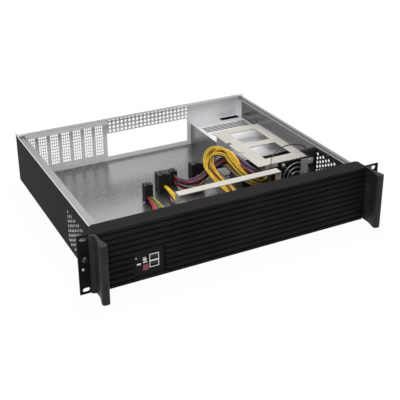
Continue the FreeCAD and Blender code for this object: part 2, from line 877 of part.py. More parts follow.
def make_supply():
    """One-unit power supply: open-topped case, slotted cover, fan, inlet, board and heat sinks."""
    rear = INNER_REAR
    front = f"{INNER_REAR} - supply_length"
    left = "supply_left"
    base = "gauge"
    outer = box("supply_outer", (left, front, base), ("supply_width", "supply_length", "supply_height - supply_gauge"))
    inner = box("supply_inner", (f"{left} + supply_gauge", f"{front} + supply_gauge", f"{base} + supply_gauge"),
                ("supply_width - 2 * supply_gauge", "supply_length - 2 * supply_gauge", "supply_height"))
    rear_wall = (f"{rear} - 3", "6")
    fan_middle = "gauge + supply_gauge + 19"
    openings = [
        rod("supply_fan_hole", (f"{left} + 27", rear_wall[0], fan_middle), "17", rear_wall[1], "Y"),
        box("supply_inlet_hole", (f"{left} + 62", rear_wall[0], "10"), ("28", rear_wall[1], "20")),
        box("supply_lead_hole", (f"{left} + 5", f"{front} - 3", "4.5"), ("46", "6", "31")),
    ]
    for number, (across, up) in enumerate((("4.5", "9"), ("4.5", "34"), ("95.5", "9"), ("95.5", "34"))):
        openings.append(rod(f"supply_tap_{number}", (f"{left} + {across}", rear_wall[0], up), "1.5", rear_wall[1], "Y"))
    finish(cut("supply_case_cut", outer, inner, *openings), "supply_case")

    cover = box("supply_lid", (left, front, f"{base} + supply_height - supply_gauge"),
                ("supply_width", "supply_length", "supply_gauge"))
    slits = [box("supply_window", (f"{left} + 58", f"{rear} - 15", "supply_height - 4"), ("38", "12", "10"))]
    for number in range(4):
        start = f"{rear} - 54 + {number} * 6"
        slits.append(box(f"supply_slit_{number}", (f"{left} + 6", start, "supply_height - 4"), ("88", "3.4", "10")))
    finish(cut("supply_cover_cut", cover, *slits), "supply_cover")

    board = box("supply_board_plate", (f"{left} + 4", f"{front} + 8", "7"), ("92", "150", "1.6"))
    posts = [rod(f"supply_post_{number}", (f"{left} + {across}", f"{front} + {back}", "gauge + supply_gauge"),
                 "3", "5", "Z") for number, (across, back) in enumerate(((9, 14), (90, 14), (9, 152), (90, 152)))]
    finish(fuse("supply_board_solid", board, *posts), "supply_board")
    plate = box("sink_plate", (f"{left} + 14", f"{front} + 20", "8.6"), ("4", "110", "26"))
    fins = [box(f"sink_fin_{number}", (f"{left} + 18", f"{front} + 22 + {number} * 12", "12"), ("16", "2", "20"))
            for number in range(9)]
    finish(fuse("sink_solid", plate, *fins), "supply_sink")

    fan = box("supply_fan_block", (f"{left} + 8", f"{rear} - 21", "gauge + supply_gauge"), ("38", "20", "38"))
    duct = rod("supply_fan_duct", (f"{left} + 27", f"{rear} - 22", fan_middle), "17.2", "24", "Y")
    arm = box("supply_fan_arm", (f"{left} + 8.5", f"{rear} - 21", f"{fan_middle} - 1.5"), ("37", "2", "3"))
    seat = rod("supply_fan_seat", (f"{left} + 27", f"{rear} - 21", fan_middle), "8", "3", "Y")
    bore = rod("supply_fan_bore", (f"{left} + 27", f"{rear} - 22", fan_middle), "1.05", "6", "Y")
    spider = fuse("supply_fan_spider", cut("supply_fan_ring", fan, duct), arm, seat)
    finish(cut("supply_fan_solid", spider, bore), "supply_fan_frame")

    inlet = box("inlet_block", (f"{left} + 62.3", f"{rear} - 18", "10.3"), ("27.4", "17.8", "19.4"))
    mouth = box("inlet_mouth", (f"{left} + 64.5", f"{rear} - 15", "12.5"), ("23", "16", "15"))
    pins = [box(f"inlet_pin_{number}", (f"{left} + {across}", f"{rear} - 16", up), ("2", "12", "5"))
            for number, (across, up) in enumerate((("68", "18"), ("75", "14.5"), ("82", "18")))]
    finish(fuse("inlet_solid", cut("inlet_cup", inlet, mouth), *pins), "mains_inlet")


def rotor_shape(centre, hub, tip, depth, blades, bore_depth):
    """Fan rotor about Y: a cup-shaped hub with curved blades that lean through its depth."""
    x, y, z = centre
    rotor = Part.makeCylinder(hub, depth, Vector(x, y, z), Vector(0, 1, 0))
    recess = Part.makeCylinder(hub - 1.6, bore_depth, Vector(x, y, z), Vector(0, 1, 0))
    rotor = rotor.cut(recess)
    lean = math.radians(28)
    for number in range(blades):
        turn = 2 * math.pi * number / blades

        def ring_point(radius, angle, along):
            return Vector(x + radius * math.cos(angle), y + along, z + radius * math.sin(angle))

        sections = []
        for along, shift in ((0.8, 0.0), (depth - 0.8, lean)):
            start = turn + shift
            sweep = 0.32
            lower = Part.Arc(ring_point(hub - 0.6, start, along), ring_point((hub + tip) / 2, start + sweep * 0.4, along),
                             ring_point(tip, start + sweep, along)).toShape()
            upper = Part.Arc(ring_point(tip, start + sweep + 1.1 / tip, along),
                             ring_point((hub + tip) / 2, start + sweep * 0.4 + 1.3 / tip, along),
                             ring_point(hub - 0.6, start + 1.4 / hub, along)).toShape()
            ends = [Part.makeLine(lower.Vertexes[1].Point, upper.Vertexes[0].Point),
                    Part.makeLine(upper.Vertexes[1].Point, lower.Vertexes[0].Point)]
            sections.append(Part.Wire([lower, ends[0], upper, ends[1]]))
        blade = Part.makeLoft(sections, True, True)
        rotor = rotor.fuse(blade)
    return rotor.removeSplitter()


def make_fan():
    """Front fan: square frame with a round duct and a spider, rotor, wire guard and bracket."""
    front = "ear_plane + fan_front"
    centre_x = "fan_left + fan_size / 2"
    centre_z = "gauge + fan_size / 2"
    base = "gauge"
    block = box("fan_block", ("fan_left", front, base), ("fan_size", "fan_depth", "fan_size"))
    duct = rod("fan_duct", (centre_x, f"{front} - 1", centre_z), "fan_size / 2 - 1.5", "fan_depth + 2", "Y")
    corners = []
    for number, (side, up) in enumerate((("-", "-"), ("+", "-"), ("-", "+"), ("+", "+"))):
        corners.append(rod(f"fan_corner_{number}", (f"{centre_x} {side} fan_hole_span / 2", f"{front} - 1",
                                                    f"{centre_z} {up} fan_hole_span / 2"), "2.1", "fan_depth + 2", "Y"))
    ring = cut("fan_ring", block, duct, *corners)
    bearing = rod("fan_bearing", (centre_x, f"{front} + fan_depth - 5", centre_z), "1.55", "6", "Y")
    arms = [
        box("fan_arm_across", ("fan_left + 1", f"{front} + fan_depth - 3", f"{centre_z} - 1.5"), ("fan_size - 2", "3", "3")),
        box("fan_arm_up", (f"{centre_x} - 1.5", f"{front} + fan_depth - 3", f"{base} + 1"), ("3", "3", "fan_size - 2")),
        rod("fan_seat", (centre_x, f"{front} + fan_depth - 4", centre_z), "13", "4", "Y"),
    ]
    finish(cut("fan_frame_solid", fuse("fan_spider", ring, *arms), bearing), "fan_frame")

    x, y, z = value(centre_x), value(front), value(centre_z)
    rotor = rotor_shape((x, y + 3, z), 13, 27.6, 16.5, 7, 1.2)
    spindle = Part.makeCylinder(1.5, 6.4, Vector(x, y + 18.5, z), Vector(0, 1, 0))
    shape_feature("fan_rotor", rotor.fuse(spindle).removeSplitter())
    rear_y = value(INNER_REAR)
    small_x = value("supply_left") + 27
    small_z = value("gauge + supply_gauge + 19")
    rotor = rotor_shape((small_x, rear_y - 17, small_z), 8, 16.2, 12, 5, 1)
    spindle = Part.makeCylinder(1.0, 6, Vector(small_x, rear_y - 20.9, small_z), Vector(0, 1, 0))
    shape_feature("supply_fan_rotor", rotor.fuse(spindle).removeSplitter())

    # wire guard: three rings welded on four spokes that end in screw eyes on the fan's front face
    ring_wire = 0.7
    spoke_wire = 0.65
    eye_depth = 1.6
    guard = None
    for number in range(4):
        angle = math.radians(45 + 90 * number)
        way = Vector(math.cos(angle), 0, math.sin(angle))
        hub = Vector(x, y - 0.85, z)
        spoke = Part.makeCylinder(spoke_wire, 24.2, hub + way * 8.6, way)
        tip = Vector(x, y, z) + way * (value("fan_hole_span") / 2 * math.sqrt(2))
        eye = Part.makeCylinder(3.4, eye_depth, tip, Vector(0, -1, 0))
        eye = eye.cut(Part.makeCylinder(1.95, 8, tip - Vector(0, 4, 0), Vector(0, 1, 0)))
        arm = spoke.fuse(eye)
        guard = arm if guard is None else guard.fuse(arm)
    for radius in (9, 17, 25):
        guard = guard.fuse(Part.makeTorus(radius, ring_wire, Vector(x, y - 1.9, z), Vector(0, 1, 0)))
    shape_feature("fan_guard", guard.removeSplitter())

    # bracket: a post in front of the fan with a foot on the floor and an ear at the upper screw
    body = new_body("fan_bracket")
    post_back = f"{front} - 3.2"
    face = new_sketch(body, "XZ", f"{post_back} - gauge")
    left = "fan_left + 37"
    right = "fan_left + 50"
    high = f"{centre_z} + fan_hole_span / 2"
    outline(
        face,
        [
            (left, "gauge"),
            (right, "gauge"),
            (right, f"{high} - 5"),
            ("fan_left + fan_size", f"{high} - 5"),
            ("fan_left + fan_size", f"{high} + 4.5"),
            (left, f"{high} + 4.5"),
        ],
    )
    pad(body, face, "gauge", backward=True)
    foot = new_sketch(body, "XY", "gauge")
    rectangle(foot, left, f"{post_back} - 14", right, post_back)
    pad(body, foot, "gauge")
    spacer = new_sketch(body, "XZ", post_back)
    circle(spacer, f"{centre_x} + fan_hole_span / 2", high, "6.8")
    pad(body, spacer, "1.6", backward=True)
    eye = new_sketch(body, "XZ", f"{post_back} - gauge")
    circle(eye, f"{centre_x} + fan_hole_span / 2", high, "3.9")
    pocket(body, eye, "gauge + 1.6")
    finish(body, "fan_bracket")


# ---------------------------------------------------------------- fasteners


def screw_shape(place, way, head, rise, shank, length):
    """Pan-head screw: the head's underside is at place, the shank runs along way, the head against it."""
    profile = [
        Vector(0, 0, -rise),
        Vector(head * 0.55, 0, -rise),
        Vector(head, 0, -rise * 0.35),
        Vector(head, 0, 0),
        Vector(shank, 0, 0),
        Vector(shank, 0, length),
        Vector(0, 0, length),
    ]
    face = Part.Face(Part.makePolygon(profile + [profile[0]]))
    solid = face.revolve(Vector(), Vector(0, 0, 1), 360)
    slot_width = head * 0.22
    for turn in (0, 90):
        slot = Part.makeBox(head * 1.1, slot_width, rise * 0.5, Vector(-head * 0.55, -slot_width / 2, -rise - 0.01))
        slot.rotate(Vector(), Vector(0, 0, 1), turn)
        solid = solid.cut(slot)
    solid.Placement = Placement(Vector(*place), Rotation(Vector(0, 0, 1), Vector(*way)))
    return solid


def screw_group(name, places, way, head, rise, shank, length):
    shape_feature(name, Part.makeCompound([screw_shape(place, way, head, rise, shank, length) for place in places]))


def make_fasteners():
    ear = value("ear_plane")
    half = value(HALF)
    inner_rear = value(INNER_REAR)
    tab_top = value("rail_top + cover_gauge")
    slot_places = [(value(slot_centre(number)) + 5.4, inner_rear - 6, tab_top) for number in range(7)]
    screw_group("slot_screws", slot_places, (0, 0, -1), 3.0, 2.0, 1.45, 4)
    supply = value("supply_left")
    supply_places = [(supply + across, value(REAR), up) for across in (4.5, 95.5) for up in (9, 34)]
    screw_group("supply_screws", supply_places, (0, -1, 0), 3.0, 2.0, 1.45, 5)
    gauge = value("ear_gauge")
    side_y = ear + value("ear_return") / 2 + 2
    side = []
    for sign in (-1, 1):
        for up in (20, 60):
            place = (sign * (half + gauge), side_y, up)
            side.append(screw_shape(place, (-sign, 0, 0), 3.4, 1.8, 1.95, 5))
    shape_feature("ear_screws", Part.makeCompound(side))
    grip = [(sign * (half + 6), ear + gauge, up) for sign in (-1, 1) for up in (20, 68)]
    screw_group("handle_screws", grip, (0, -1, 0), 2.6, 1.6, 1.45, 5.5)
    dome = [(sign * 231.8, ear, 52) for sign in (-1, 1)]
    screw_group("ear_studs", dome, (0, 1, 0), 4.6, 3.0, 1.95, 5)
    pins = [(sign * 235, ear, 38) for sign in (-1, 1)]
    screw_group("ear_pins", pins, (0, 1, 0), 2.2, 1.2, 1.25, 4)
    fan_face = ear + value("fan_front")
    middle_x = value("fan_left + fan_size / 2")
    middle_z = value("gauge + fan_size / 2")
    reach = value("fan_hole_span") / 2
    places = [
        (middle_x - reach, fan_face - 1.6, middle_z - reach),
        (middle_x + reach, fan_face - 1.6, middle_z - reach),
        (middle_x - reach, fan_face - 1.6, middle_z + reach),
        (middle_x + reach, fan_face - 4.4, middle_z + reach),
    ]
    screw_group("fan_screws", places, (0, 1, 0), 3.2, 1.8, 1.85, 12)


# ---------------------------------------------------------------- cables


def cord_path(points):
    """Straight runs joined by tangent arcs, each as large as its two runs allow."""
    points = [Vector(*point) for point in points]
    edges = []
    here = points[0]
    radii = []
    for before, corner, after in zip(points, points[1:], points[2:]):
        way_in = (corner - before).normalize()
        way_out = (after - corner).normalize()
        turn = way_in.getAngle(way_out)
        shorter = min((corner - before).Length, (after - corner).Length)
        setback = 0.45 * shorter
        radii.append(setback / math.tan(turn / 2))
        start = corner - way_in * setback
        end = corner + way_out * setback
        inward = (way_out - way_in).normalize()
        centre = corner + inward * (radii[-1] / math.cos(turn / 2))
        edges.append(Part.LineSegment(here, start).toShape())
        edges.append(Part.Arc(start, centre - inward * radii[-1], end).toShape())
        here = end
    edges.append(Part.LineSegment(here, points[-1]).toShape())
    return Part.Wire(edges), radii


def make_cord(name, diameter, points):
    """A cord's plain tube along its route."""
    path, radii = cord_path(points)
    first_way = Vector(*points[1]) - Vector(*points[0])
    section = Part.Wire(Part.makeCircle(diameter / 2, Vector(*points[0]), first_way))
    tube = path.makePipeShell([section], True, False)
    expected = math.pi * diameter**2 / 4 * path.Length
    print(f"{name}: length {path.Length:.0f} mm, smallest radius {min(radii):.1f} mm = {min(radii) / diameter:.1f} d, "
          f"volume ratio {tube.Volume / expected:.4f}")
    shape_feature(name, tube)


def make_plug(name, place, spans, yaw, ways):
    """A plug housing: a block with a row of pin pockets in one face and a latch on top."""
    length, width, height = spans
    block = Part.makeBox(length, width, height, Vector(-length / 2, 0, 0))
    step = length / ways
    for number in range(ways):
        corner = Vector(-length / 2 + step * (number + 0.2), width - 3.5, height * 0.25)
        block = block.cut(Part.makeBox(step * 0.6, 4, height * 0.5, corner))
    latch = Part.makeBox(length * 0.3, width * 0.6, 1.4, Vector(-length * 0.15, 1, height))
    block = block.fuse(latch)
    block.Placement = Placement(Vector(*place), Rotation(Vector(0, 0, 1), yaw))
    shape_feature(name, block)


def make_cables():
    """Supply harnesses with their plugs, and the fan's lead. Points are X, distance behind the ears, Z."""
    ear = value("ear_plane")
    floor = value("gauge")
    routes = {
        "harness_main": (5, [(124, 188.8, 22), (124, 158, 21), (110, 137, 29), (91, 148, 44), (87, 172, 57),
                             (85, 200, 67), (64, 216, 64), (50, 206, 42), (56, 178, 26), (68, 150, 14),
                             (62, 118, 8), (34, 98, 7), (0, 98, 7), (-20, 118, 8), (-24, 152, 10),
                             (-17, 184, 12), (-17, 218, 12)]),
        "harness_drive": (5, [(142, 188.8, 30), (141, 160, 32), (128, 134, 38), (108, 130, 48), (97, 150, 54),
                              (98, 178, 55), (97, 206, 49), (82, 220, 36), (60, 212, 28), (34, 198, 22),
                              (9, 206, 18), (9, 237, 18)]),
        "harness_atx": (5, [(66, 243, 14), (90, 243, 14), (101, 218, 30), (98, 188, 30), (108, 160, 19),
                            (130, 150, 10), (150, 164, 12), (152, 188.8, 12)]),
        "harness_cpu": (5, [(120, 188.8, 8), (119, 160, 7), (108, 128, 6), (88, 100, 5), (58, 86, 5),
                            (22, 84, 5), (-16, 86, 5), (-44, 106, 5), (-55, 134, 5), (-57, 158, 6),
                            (-53, 178, 8), (-53, 200, 8)]),
        "harness_link": (5, [(9, 237, 8), (9, 212, 8), (28, 194, 9), (52, 208, 8), (52, 236, 8)]),
        "fan_lead": (2, [(198, 126, floor + 60), (198, 126, 74), (184, 131, 81), (163, 136, 81), (143, 134, 77),
                         (128, 124, 70), (120, 112, 58), (118, 113, 38), (121, 121, 18), (125, 118, 4.7),
                         (125, 94, 4.7)]),
    }
    for name, (diameter, points) in routes.items():
        make_cord(name, diameter, [(x, ear + behind, z) for x, behind, z in points])
    make_plug("plug_main", (54, ear + 236, floor), (24, 14, 28.8), 0, 6)
    make_plug("plug_drive", (-17, ear + 218, floor), (20, 18, 32), 0, 4)
    make_plug("plug_small", (9, ear + 237, floor), (12, 14, 24), 0, 3)
    make_plug("plug_cpu", (-53, ear + 200, floor), (14, 12, 29), 0, 2)
    make_plug("plug_fan", (125, ear + 94, floor), (12, 10, 7), 180, 3)


make_tray()
make_rear_panel()
for slot_number in range(7):
    make_slot_cover(slot_number)
make_slot_rail()
make_front_panel()
make_front_frame()
make_front_brace()
make_rack_ear("rack_ear_left", "-")
make_rack_ear("rack_ear_right", "")
make_handle("handle_left", "-")
make_handle("handle_right", "")
make_controls()
make_drive_shelf()
make_shelf_legs()
make_supply()
make_fan()
make_fasteners()
make_cables()

doc.recompute()
for thing in doc.Objects:
    if {"Invalid", "Error"} & set(thing.State):
        raise RuntimeError(f"{thing.Name} {thing.Label} failed: {thing.State}")
os.makedirs("parts", exist_ok=True)
for thing in finished:
    if thing.Shape.isNull() or not thing.Shape.isValid():
        raise RuntimeError(f"{thing.Label} has no valid shape")
    thing.Shape.exportStep(f"parts/{thing.Label}.step")
print(len(finished), "sub-parts written")
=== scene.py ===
import math

import bpy
import numpy as np
from mathutils import Matrix, Vector


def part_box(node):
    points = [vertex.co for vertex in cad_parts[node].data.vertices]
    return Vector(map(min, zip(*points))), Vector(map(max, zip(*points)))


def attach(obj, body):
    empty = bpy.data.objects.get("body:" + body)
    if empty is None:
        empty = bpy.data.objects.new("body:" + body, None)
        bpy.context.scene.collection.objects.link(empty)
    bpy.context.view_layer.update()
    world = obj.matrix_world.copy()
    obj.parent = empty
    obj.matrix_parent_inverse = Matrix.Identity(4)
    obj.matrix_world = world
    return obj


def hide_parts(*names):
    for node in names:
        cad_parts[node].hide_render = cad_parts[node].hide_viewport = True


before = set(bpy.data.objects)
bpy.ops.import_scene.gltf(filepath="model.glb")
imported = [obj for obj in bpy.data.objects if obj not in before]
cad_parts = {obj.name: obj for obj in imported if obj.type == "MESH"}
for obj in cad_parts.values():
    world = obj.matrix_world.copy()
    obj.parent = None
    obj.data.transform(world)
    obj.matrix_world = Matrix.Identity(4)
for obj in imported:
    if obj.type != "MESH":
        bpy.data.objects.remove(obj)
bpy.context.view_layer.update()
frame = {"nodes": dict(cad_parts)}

nodes = frame["nodes"]
MM = 0.001
EAR_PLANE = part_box("rack_ear_left")[0].y
FRONT_LIP = EAR_PLANE + 2.6 * MM
REAR_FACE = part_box("rear_panel")[1].y - 0.8 * MM
TRAY_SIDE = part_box("chassis_tray")[1].x
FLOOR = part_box("supply_case")[0].z


# ---------------------------------------------------------------- camera


def aim_camera(place, azimuth, elevation, roll, lens, shift):
    """A camera at place that looks along the given azimuth and downward elevation, rolled about its view."""
    data = bpy.data.cameras.new("camera")
    data.lens = lens
    data.sensor_width = 36.0
    data.shift_x, data.shift_y = shift
    data.clip_start, data.clip_end = 0.05, 50.0
    camera = bpy.data.objects.new("camera", data)
    bpy.context.scene.collection.objects.link(camera)
    turn, tilt = math.radians(azimuth), math.radians(elevation)
    back = Vector((math.sin(turn) * math.cos(tilt), -math.cos(turn) * math.cos(tilt), math.sin(tilt)))
    right = Vector((math.cos(turn), math.sin(turn), 0.0))
    up = back.cross(right)
    spin = math.radians(roll)
    right, up = right * math.cos(spin) + up * math.sin(spin), up * math.cos(spin) - right * math.sin(spin)
    axes = Matrix((right, up, back)).transposed()
    camera.matrix_world = Matrix.Translation(Vector(place)) @ axes.to_4x4()
    bpy.context.scene.camera = camera


aim_camera(place=(-0.513, EAR_PLANE - 0.873, 0.608), azimuth=-27.23, elevation=23.20, roll=-0.23,
           lens=73.0, shift=(0.0, -0.15))


# ---------------------------------------------------------------- meshes


def add_mesh(name, points, faces, materials, face_material=None, smooth=True):
    """A piece of the case from an array of points and an array of faces, all with as many corners."""
    mesh = bpy.data.meshes.new(name)
    points = np.asarray(points, dtype=np.float32)
    faces = np.asarray(faces, dtype=np.int32)
    count, corners = faces.shape
    mesh.vertices.add(len(points))
    mesh.vertices.foreach_set("co", points.ravel())
    mesh.loops.add(faces.size)
    mesh.loops.foreach_set("vertex_index", faces.ravel())
    mesh.polygons.add(count)
    mesh.polygons.foreach_set("loop_start", np.arange(count, dtype=np.int32) * corners)
    mesh.polygons.foreach_set("loop_total", np.full(count, corners, dtype=np.int32))
    for entry in materials:
        mesh.materials.append(entry)
    if face_material is not None:
        mesh.polygons.foreach_set("material_index", np.asarray(face_material, dtype=np.int32))
    mesh.polygons.foreach_set("use_smooth", np.full(count, smooth))
    mesh.update(calc_edges=True)
    mesh.validate()
    piece = bpy.data.objects.new(name, mesh)
    bpy.context.scene.collection.objects.link(piece)
    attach(piece, "case")
    return piece


def tube_faces(rings, around):
    """Quads between neighbouring rings of a tube, as rows of four point numbers."""
    ring = np.arange(rings - 1)[:, None] * around
    spot = np.arange(around)[None, :]
    following = (spot + 1) % around
    corners = [ring + spot, ring + following, ring + around + following, ring + around + spot]
    return np.stack(corners, axis=-1).reshape(-1, 4)


def carried_frames(line):
    """Side and rise at each point of a line. Each side is the one before it less its share along the
    tangent, so it has no spin of its own, and the rise is the tangent's cross product with it."""
    tangent = np.gradient(line, axis=0)
    tangent /= np.linalg.norm(tangent, axis=1, keepdims=True)
    side = np.zeros_like(line)
    upright = abs(tangent[0, 2]) >= 0.9
    now = np.array([1.0, 0.0, 0.0]) if upright else np.array([0.0, 0.0, 1.0])
    for number, way in enumerate(tangent):
        now = now - way * now.dot(way)
        now = now / np.linalg.norm(now)
        side[number] = now
    return side, np.cross(tangent, side)


# ---------------------------------------------------------------- cables


WIRE_SIDES = 7
LINE_SPACING = 1.6 * MM
GOLDEN_ANGLE = 2.399963
OVAL = 0.7  # a bundle's thickness over its width
TWIST = 8.0  # how fast the oval turns, in radians a metre
DRAWN_IN = 0.4  # a bundle's size at its ends, over its full size
DRAWN_RUN = 35 * MM  # how far from an end it has its full size
FILL = 0.66  # how far the wires' middles spread, over the bundle's diameter less one wire


def cord_line(name, route):
    """Evenly spaced points of the smooth line that a cord's route points steer."""
    curve = bpy.data.curves.new(name + "_line", "CURVE")
    curve.dimensions = "3D"
    curve.resolution_u = 24
    spline = curve.splines.new("NURBS")
    spline.points.add(len(route) - 1)
    for point, place in zip(spline.points, route):
        point.co = (*place, 1.0)
    spline.order_u = 3
    spline.use_endpoint_u = True
    holder = bpy.data.objects.new(name + "_line", curve)
    bpy.context.scene.collection.objects.link(holder)
    bpy.context.view_layer.update()
    mesh = bpy.data.meshes.new_from_object(holder)
    points = np.zeros(len(mesh.vertices) * 3)
    mesh.vertices.foreach_get("co", points)
    points = points.reshape(-1, 3)
    bpy.data.objects.remove(holder)
    bpy.data.meshes.remove(mesh)
    run = np.concatenate([[0.0], np.cumsum(np.linalg.norm(np.diff(points, axis=0), axis=1))])
    even = np.linspace(0.0, run[-1], max(8, int(run[-1] / LINE_SPACING)))
    return np.stack([np.interp(even, run, points[:, axis]) for axis in range(3)], axis=1), run[-1]


def wires(name, route, count, spread, wire, colours, seed):
    """Loose wires round a line. Wire k starts at the square root of its share of the count times spread, a
    golden angle on from the wire before it. Its distance wavers by a slow sine, its angle drifts along the
    line, the oval that they fill turns slowly, all draw together at the two ends by a smooth step, and none
    sinks into the floor."""
    line, length = cord_line(name, route)
    side, rise = carried_frames(line)
    random = np.random.default_rng(seed)
    along = np.linspace(0.0, length, len(line))
    gather = np.clip(np.minimum(along, length - along) / DRAWN_RUN, 0.0, 1.0)
    gather = DRAWN_IN + (1 - DRAWN_IN) * gather * gather * (3 - 2 * gather)
    lean = random.uniform(0, math.pi) + along * TWIST
    turn = np.linspace(0, 2 * math.pi, WIRE_SIDES, endpoint=False)[:, None]
    all_points, all_faces, all_colours = [], [], []
    for number in range(count):
        angle = GOLDEN_ANGLE * number + along * random.uniform(-TWIST, TWIST) - lean
        wander = random.uniform(0.8, 1.0) + 0.12 * np.sin(along * random.uniform(25, 70) + random.uniform(0, 6.28))
        reach = spread * math.sqrt((number + 0.5) / count) * wander * gather
        wide, thick = np.cos(angle) * reach, np.sin(angle) * reach * OVAL
        across = wide * np.cos(lean) - thick * np.sin(lean)
        above = wide * np.sin(lean) + thick * np.cos(lean)
        centre = line + side * across[:, None] + rise * above[:, None]
        centre[:, 2] = np.maximum(centre[:, 2], FLOOR + wire / 2)
        wire_side, wire_rise = carried_frames(centre)
        ring = wire_side[:, None] * np.cos(turn) + wire_rise[:, None] * np.sin(turn)
        points = centre[:, None] + ring * wire / 2
        all_faces.append(tube_faces(len(line), WIRE_SIDES) + number * len(line) * WIRE_SIDES)
        all_points.append(points.reshape(-1, 3))
        all_colours.append(np.full((len(line) - 1) * WIRE_SIDES, number % len(colours)))
    piece = add_mesh(name, np.concatenate(all_points), np.concatenate(all_faces), colours,
                     face_material=np.concatenate(all_colours))
    return piece, line


# ---------------------------------------------------------------- materials


class Amount:
    """A socket that can stand in a Python expression."""

    def __init__(self, nodes, socket):
        self.nodes = nodes
        self.socket = socket

    def join(self, operation, first, second=None):
        values = {0: first} if second is None else {0: first, 1: second}
        return self.nodes.node("ShaderNodeMath", {"operation": operation}, values)

    def __add__(self, other):
        return self.join("ADD", self, other)

    __radd__ = __add__

    def __sub__(self, other):
        return self.join("SUBTRACT", self, other)

    def __rsub__(self, other):
        return self.join("SUBTRACT", other, self)

    def __mul__(self, other):
        return self.join("MULTIPLY", self, other)

    __rmul__ = __mul__

    def __gt__(self, other):
        return self.join("GREATER_THAN", self, other)

    def __lt__(self, other):
        return self.join("LESS_THAN", self, other)

    def __abs__(self):
        return self.join("ABSOLUTE", self)

    def most(self, other):
        return self.join("MAXIMUM", self, other)


class Nodes:
    """A node tree, filled node by node."""

    def __init__(self, tree):
        self.tree = tree

    def node(self, kind, settings=None, values=None, output=0):
        """One node: its settings first, then its sockets, each a value or a link. Returns one output."""
        node = self.tree.nodes.new(kind)
        for key, setting in (settings or {}).items():
            setattr(node, key, setting)
        for key, value in (values or {}).items():
            self.feed(node.inputs[key], value)
        return Amount(self, node.outputs[output])

    def feed(self, socket, value):
        if isinstance(value, Amount):
            self.tree.links.new(value.socket, socket)
        elif socket.type == "RGBA":
            socket.default_value = (*value, 1.0)
        else:
            socket.default_value = value

    def shown_white(self, shader, glow, share=1.0):
        """The shader mixed with a white glow by the given share, on rays from the camera, off what reflects
        and through glass."""
        names = ("Is Camera Ray", "Is Glossy Ray", "Is Transmission Ray")
        rays = [self.node("ShaderNodeLightPath", output=name) for name in names]
        seen = rays[0].most(rays[1]).most(rays[2])
        white = self.node(glow, None, {"Color": (1.0, 1.0, 1.0), "Strength": 1.0})
        return self.node("ShaderNodeMixShader", None, {0: seen * share, 1: shader, 2: white})


class Surface(Nodes):
    """A material and its node tree."""

    def __init__(self, name):
        self.material = bpy.data.materials.new(name)
        self.material.use_nodes = True
        super().__init__(self.material.node_tree)
        self.shader = self.tree.nodes["Principled BSDF"]
        self.place = self.node("ShaderNodeTexCoord", output="Object")

    def noise(self, scale, detail=3.0, where=None):
        values = {"Vector": where or self.place, "Scale": scale, "Detail": detail, "Roughness": 0.55}
        return self.node("ShaderNodeTexNoise", None, values)

    def rolling(self, scale, x, y, z):
        """Fine lines left by rolling: noise stretched by each axis's share."""
        where = self.node("ShaderNodeMapping", None, {"Vector": self.place, "Scale": (x, y, z)})
        return self.noise(scale, 2.0, where)

    def flakes(self):
        """Zinc's crystal flakes, each with a shade of its own."""
        values = {"Vector": self.place, "Scale": 260.0}
        cells = self.node("ShaderNodeTexVoronoi", {"feature": "F1"}, values, output="Color")
        return self.node("ShaderNodeSeparateColor", None, {0: cells})

    def spread(self, amount, low, high):
        """The amount stretched from low..high to 0..1."""
        return self.node("ShaderNodeMapRange", {"clamp": True}, {0: amount, 1: low, 2: high})

    def blend(self, share, first, second):
        """The first colour where share is 0 and the second where it is 1."""
        return self.node("ShaderNodeMix", {"data_type": "RGBA"}, {0: share, 6: first, 7: second}, output=2)

    def axis(self, name):
        return self.node("ShaderNodeSeparateXYZ", None, {0: self.place}, output=name)

    def off_middle(self, name, low, high):
        """How far a spot is from the middle of low..high along one axis."""
        middle = (getattr(low, name.lower()) + getattr(high, name.lower())) / 2
        return abs(self.axis(name) - middle)

    def bump(self, height, strength, distance=0.0002):
        values = {"Height": height, "Strength": strength, "Distance": distance}
        return self.node("ShaderNodeBump", None, values)

    def finish(self, **sockets):
        """The shader's named sockets fed, each a value or a link. Returns the material."""
        for key, value in sockets.items():
            self.feed(self.shader.inputs[key.replace("_", " ")], value)
        return self.material


def zinc_sheet(name, light=0.58, dark=0.50, gloss=0.36, metal=0.9, painted_shade_plane=None):
    """Zinc-plated sheet: soft crystal flakes, a little cloudiness and fine rolling lines. duller is a plane
    across the depth, past which the outer face is painted darker: painted shade on the face that the
    lamps light most, since the sheet is the same on both sides."""
    skin = Surface(name)
    flake = skin.flakes()
    cloud = skin.noise(14.0, 4.0)
    lines = skin.rolling(60.0, 1, 14, 14)
    share = skin.spread(flake * 0.25 + cloud * 0.6 + lines * 0.15, 0.3, 0.7)
    colour = skin.blend(share, (dark, dark, dark * 1.02), (light, light, light * 1.01))
    if painted_shade_plane is not None:
        # painted shade: past the plane the outer face takes a darker tone than the inner face
        outer = skin.axis("Y") > painted_shade_plane
        colour = skin.blend(outer, colour, skin.blend(share, (0.40, 0.40, 0.41), (0.47, 0.47, 0.475)))
    return skin.finish(Base_Color=colour, Metallic=metal, Roughness=share * 0.06 + (gloss - 0.03),
                       Normal=skin.bump(lines * 0.5 + flake * 0.2, 0.12))


def slit_cover():
    """The supply's lid: milky zinc, with the walls of its slits painted black a little below the face, as
    painted shade in the slits.
    """
    skin = Surface("slit_cover")
    low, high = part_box("supply_cover")
    within = skin.off_middle("X", low, high) < (high.x - low.x) / 2 - 3 * MM
    # painted shade: below the face, inside the border, the lid is black and not metal
    painted_slit_shade = (skin.axis("Z") < high.z - 0.08 * MM) * within
    cloud = skin.noise(14.0, 4.0)
    lines = skin.rolling(60.0, 1, 14, 14)
    share = skin.spread(cloud * 0.75 + lines * 0.25, 0.3, 0.7)
    plate = skin.blend(share, (0.78, 0.78, 0.79), (0.86, 0.86, 0.865))
    return skin.finish(Base_Color=skin.blend(painted_slit_shade, plate, (0.01, 0.01, 0.011)), Metallic=(1 - painted_slit_shade) * 0.25,
                       Roughness=share * 0.06 + 0.37, Normal=skin.bump(lines, 0.1))


